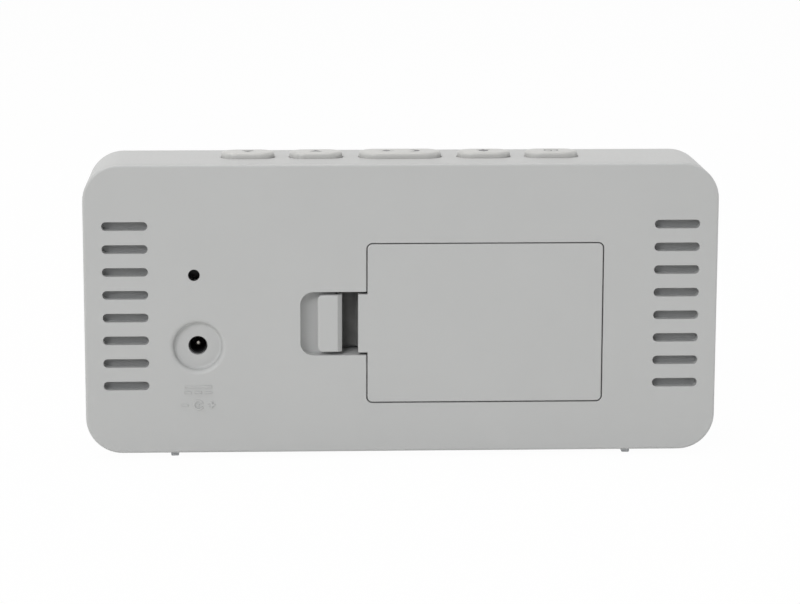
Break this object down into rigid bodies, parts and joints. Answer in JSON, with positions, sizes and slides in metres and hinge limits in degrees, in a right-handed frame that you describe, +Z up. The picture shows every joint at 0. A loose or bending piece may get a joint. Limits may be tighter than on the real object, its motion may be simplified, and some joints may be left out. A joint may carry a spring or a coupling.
{
  "type": "projection alarm clock",
  "caption": "Slab-shaped table clock with a display front, top button row, vented back with battery door, power inlet and reset hole, and a turning projector drum.",
  "frame": {"origin": "on the table under the middle of the case", "axes": "+X along the case, to the right as seen from the display side; -Y is the way the display faces and +Y the way the back faces; +Z up"},
  "size_m": [0.16, 0.029, 0.0768],
  "materials": {
    "case_plastic": "fine satin texture",
    "button_plastic": "smooth satin",
    "screen_cloth": "pressed grey felt",
    "foot_rubber": "matte",
    "tray_plastic": "moulded",
    "contact_metal": "nickel plated",
    "red_wire": "wire insulation",
    "black_wire": "wire insulation",
    "switch_plastic": "moulded",
    "plunger_plastic": "moulded",
    "board": "green solder mask",
    "screw_steel": "zinc plated",
    "chip_plastic": "moulded black",
    "can_metal": "drawn can",
    "pin_metal": "nickel plated",
    "ribbon": "flat cable",
    "window_plastic": "polished, dark tint",
    "lcd": "liquid crystal glass",
    "guide_plastic": "clear acrylic",
    "led_plastic": "epoxy",
    "dark_plastic": "fine satin texture",
    "ring_plastic": "gloss",
    "optic": "polished lens"
  },
  "bodies": {
    "case": {"front_housing": "case_plastic", "back_cover": "case_plastic", "vent_screen_left": "screen_cloth", "vent_screen_right": "screen_cloth", "foot_strip_left": "foot_rubber", "foot_strip_right": "foot_rubber", "battery_tray": "tray_plastic", "plus_contact": "contact_metal", "minus_contact": "contact_metal", "lower_link_contact": "contact_metal", "upper_link_contact": "contact_metal", "battery_lead_red": "red_wire", "battery_lead_black": "black_wire", "key_switches": "switch_plastic", "key_board": "board", "key_board_screws": "screw_steel", "main_board": "board", "main_board_screws": "screw_steel", "controller_chip": "chip_plastic", "quartz_crystal": "can_metal", "capacitor": "chip_plastic", "buzzer": "chip_plastic", "dc_jack": "chip_plastic", "dc_jack_pin": "pin_metal", "reset_switch": "switch_plastic", "key_ribbon": "ribbon", "display_lens": "window_plastic", "lcd_glass": "lcd", "light_guide": "guide_plastic", "backlight_leds": "led_plastic", "conductive_rubber": "foot_rubber", "lcd_frame": "tray_plastic", "projector_cradle": "dark_plastic"},
    "battery_door": {"battery_door": "case_plastic", "latch_spring": "case_plastic"},
    "latch": {"latch_tab": "case_plastic"},
    "reset": {"reset_plunger": "plunger_plastic"},
    "projector": {"projector_drum": "dark_plastic", "lens_ring": "ring_plastic", "projector_lens": "optic", "projector_slide": "lcd", "projector_led": "led_plastic", "projector_led_board": "board"},
    "time_key": {"time_button": "button_plastic", "time_plunger": "plunger_plastic"},
    "alarm_key": {"alarm_button": "button_plastic", "alarm_plunger": "plunger_plastic"},
    "snooze_key": {"snooze_button": "button_plastic", "snooze_plunger": "plunger_plastic"},
    "down_key": {"down_button": "button_plastic", "down_plunger": "plunger_plastic"},
    "up_key": {"up_button": "button_plastic", "up_plunger": "plunger_plastic"}
  },
  "joints": [
    {"name": "door_hinge", "type": "hinge", "parent": "case", "child": "battery_door", "pos_m": [-0.0508, 0.01435, 0.0347], "axis": [0, 0, 1], "range_deg": [0, 75]},
    {"name": "latch_flex", "type": "slide", "parent": "battery_door", "child": "latch", "axis": [-1, 0, 0], "range_m": [0, 0.0012], "stiffness_N_per_m": 2500, "deforming": ["latch_spring"]},
    {"name": "projector_turn", "type": "hinge", "parent": "case", "child": "projector", "pos_m": [-0.0625, -0.00555, 0.0445], "axis": [-1, 0, 0], "range_deg": [-10, 45]},
    {"name": "reset_press", "type": "slide", "parent": "case", "child": "reset", "axis": [0, -1, 0], "range_m": [0, 0.00025], "stiffness_N_per_m": 4000},
    {"name": "time_press", "type": "slide", "parent": "case", "child": "time_key", "axis": [0, 0, -1], "range_m": [0, 0.0006], "stiffness_N_per_m": 2500},
    {"name": "alarm_press", "type": "slide", "parent": "case", "child": "alarm_key", "axis": [0, 0, -1], "range_m": [0, 0.0006], "stiffness_N_per_m": 2500},
    {"name": "snooze_press", "type": "slide", "parent": "case", "child": "snooze_key", "axis": [0, 0, -1], "range_m": [0, 0.0006], "stiffness_N_per_m": 2500},
    {"name": "down_press", "type": "slide", "parent": "case", "child": "down_key", "axis": [0, 0, -1], "range_m": [0, 0.0006], "stiffness_N_per_m": 2500},
    {"name": "up_press", "type": "slide", "parent": "case", "child": "up_key", "axis": [0, 0, -1], "range_m": [0, 0.0006], "stiffness_N_per_m": 2500}
  ]
}
